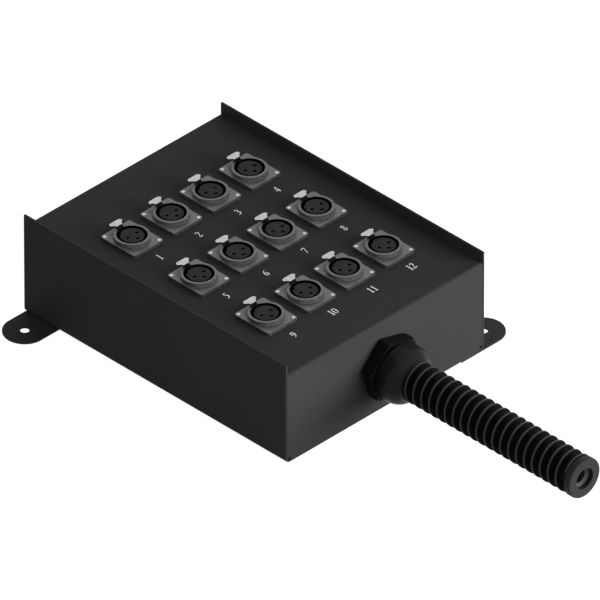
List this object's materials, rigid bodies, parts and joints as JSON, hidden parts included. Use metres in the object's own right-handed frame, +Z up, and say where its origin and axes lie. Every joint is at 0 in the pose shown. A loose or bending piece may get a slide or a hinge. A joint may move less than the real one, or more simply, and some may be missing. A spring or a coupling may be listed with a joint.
{
  "type": "stage box snake",
  "caption": "Low steel stage box with numbered three-pole sockets on a recessed top panel, two fixing ears, and a cable gland whose nut ends in a long coiled bend relief.",
  "frame": {"origin": "midway between the two ear holes, on the ears' underside", "axes": "+X towards the cable gland along the box's length, +Z up out of the socket panel"},
  "size_m": [0.4114, 0.234, 0.0762],
  "materials": {
    "black_powder_coat": "fine black powder coat",
    "nickel_casting": "dull tumbled nickel on a casting",
    "bright_steel": "bright nickel",
    "zinc_steel": "zinc plate",
    "plated_brass": "silver plate",
    "insert_plastic": "matt glass-filled plastic",
    "black_nylon": "matt moulded nylon",
    "black_rubber": "matt rubber"
  },
  "bodies": {
    "root": {"chassis": "black_powder_coat", "cover": "black_powder_coat", "ear_left": "black_powder_coat", "ear_right": "black_powder_coat", "ear_rivets": "zinc_steel", "cover_pillars": "zinc_steel", "cover_screws": "zinc_steel", "gland_gasket": "black_rubber", "gland_body": "black_nylon", "gland_locknut": "black_nylon", "gland_seal": "black_rubber", "socket_screws": "bright_steel", "socket_nuts": "zinc_steel", "socket_contacts": "plated_brass", "latch_pins": "zinc_steel", "latch_springs": "zinc_steel", "socket_shell_1": "nickel_casting", "socket_shell_2": "nickel_casting", "socket_shell_3": "nickel_casting", "socket_shell_4": "nickel_casting", "socket_shell_5": "nickel_casting", "socket_shell_6": "nickel_casting", "socket_shell_7": "nickel_casting", "socket_shell_8": "nickel_casting", "socket_shell_9": "nickel_casting", "socket_shell_10": "nickel_casting", "socket_shell_11": "nickel_casting", "socket_shell_12": "nickel_casting", "socket_insert_1": "insert_plastic", "socket_insert_2": "insert_plastic", "socket_insert_3": "insert_plastic", "socket_insert_4": "insert_plastic", "socket_insert_5": "insert_plastic", "socket_insert_6": "insert_plastic", "socket_insert_7": "insert_plastic", "socket_insert_8": "insert_plastic", "socket_insert_9": "insert_plastic", "socket_insert_10": "insert_plastic", "socket_insert_11": "insert_plastic", "socket_insert_12": "insert_plastic"},
    "clamping_ring": {"gland_claw": "black_nylon"},
    "nut": {"dome_nut": "black_nylon", "bend_relief_coil": "black_nylon", "bend_relief_ring": "black_nylon"},
    "latch_1": {"socket_latch_1": "bright_steel"},
    "latch_2": {"socket_latch_2": "bright_steel"},
    "latch_3": {"socket_latch_3": "bright_steel"},
    "latch_4": {"socket_latch_4": "bright_steel"},
    "latch_5": {"socket_latch_5": "bright_steel"},
    "latch_6": {"socket_latch_6": "bright_steel"},
    "latch_7": {"socket_latch_7": "bright_steel"},
    "latch_8": {"socket_latch_8": "bright_steel"},
    "latch_9": {"socket_latch_9": "bright_steel"},
    "latch_10": {"socket_latch_10": "bright_steel"},
    "latch_11": {"socket_latch_11": "bright_steel"},
    "latch_12": {"socket_latch_12": "bright_steel"}
  },
  "joints": [
    {"name": "gland_nut_travel", "type": "slide", "parent": "root", "child": "clamping_ring", "axis": [1, 0, 0], "range_m": [0, 0.00225]},
    {"name": "gland_nut_turn", "type": "hinge", "parent": "clamping_ring", "child": "nut", "pos_m": [0.1287, 0, 0.0342], "axis": [1, 0, 0], "range_deg": [0, 541]},
    {"name": "latch_1_press", "type": "hinge", "parent": "root", "child": "latch_1", "pos_m": [-0.06738, -0.0525, 0.0607], "axis": [0, -1, 0], "range_deg": [0, 5], "stiffness_Nm_per_rad": 0.05, "springref_deg": -5.73},
    {"name": "latch_2_press", "type": "hinge", "parent": "root", "child": "latch_2", "pos_m": [-0.06738, -0.0175, 0.0607], "axis": [0, -1, 0], "range_deg": [0, 5], "stiffness_Nm_per_rad": 0.05, "springref_deg": -5.73},
    {"name": "latch_3_press", "type": "hinge", "parent": "root", "child": "latch_3", "pos_m": [-0.06738, 0.0175, 0.0607], "axis": [0, -1, 0], "range_deg": [0, 5], "stiffness_Nm_per_rad": 0.05, "springref_deg": -5.73},
    {"name": "latch_4_press", "type": "hinge", "parent": "root", "child": "latch_4", "pos_m": [-0.06738, 0.0525, 0.0607], "axis": [0, -1, 0], "range_deg": [0, 5], "stiffness_Nm_per_rad": 0.05, "springref_deg": -5.73},
    {"name": "latch_5_press", "type": "hinge", "parent": "root", "child": "latch_5", "pos_m": [-0.00737, -0.0525, 0.0607], "axis": [0, -1, 0], "range_deg": [0, 5], "stiffness_Nm_per_rad": 0.05, "springref_deg": -5.73},
    {"name": "latch_6_press", "type": "hinge", "parent": "root", "child": "latch_6", "pos_m": [-0.00737, -0.0175, 0.0607], "axis": [0, -1, 0], "range_deg": [0, 5], "stiffness_Nm_per_rad": 0.05, "springref_deg": -5.73},
    {"name": "latch_7_press", "type": "hinge", "parent": "root", "child": "latch_7", "pos_m": [-0.00737, 0.0175, 0.0607], "axis": [0, -1, 0], "range_deg": [0, 5], "stiffness_Nm_per_rad": 0.05, "springref_deg": -5.73},
    {"name": "latch_8_press", "type": "hinge", "parent": "root", "child": "latch_8", "pos_m": [-0.00737, 0.0525, 0.0607], "axis": [0, -1, 0], "range_deg": [0, 5], "stiffness_Nm_per_rad": 0.05, "springref_deg": -5.73},
    {"name": "latch_9_press", "type": "hinge", "parent": "root", "child": "latch_9", "pos_m": [0.05262, -0.0525, 0.0607], "axis": [0, -1, 0], "range_deg": [0, 5], "stiffness_Nm_per_rad": 0.05, "springref_deg": -5.73},
    {"name": "latch_10_press", "type": "hinge", "parent": "root", "child": "latch_10", "pos_m": [0.05262, -0.0175, 0.0607], "axis": [0, -1, 0], "range_deg": [0, 5], "stiffness_Nm_per_rad": 0.05, "springref_deg": -5.73},
    {"name": "latch_11_press", "type": "hinge", "parent": "root", "child": "latch_11", "pos_m": [0.05262, 0.0175, 0.0607], "axis": [0, -1, 0], "range_deg": [0, 5], "stiffness_Nm_per_rad": 0.05, "springref_deg": -5.73},
    {"name": "latch_12_press", "type": "hinge", "parent": "root", "child": "latch_12", "pos_m": [0.05262, 0.0525, 0.0607], "axis": [0, -1, 0], "range_deg": [0, 5], "stiffness_Nm_per_rad": 0.05, "springref_deg": -5.73}
  ],
  "couplings": [
    {"joint": "gland_nut_turn", "follows": "gland_nut_travel", "rad_per_m": 4188.8}
  ]
}
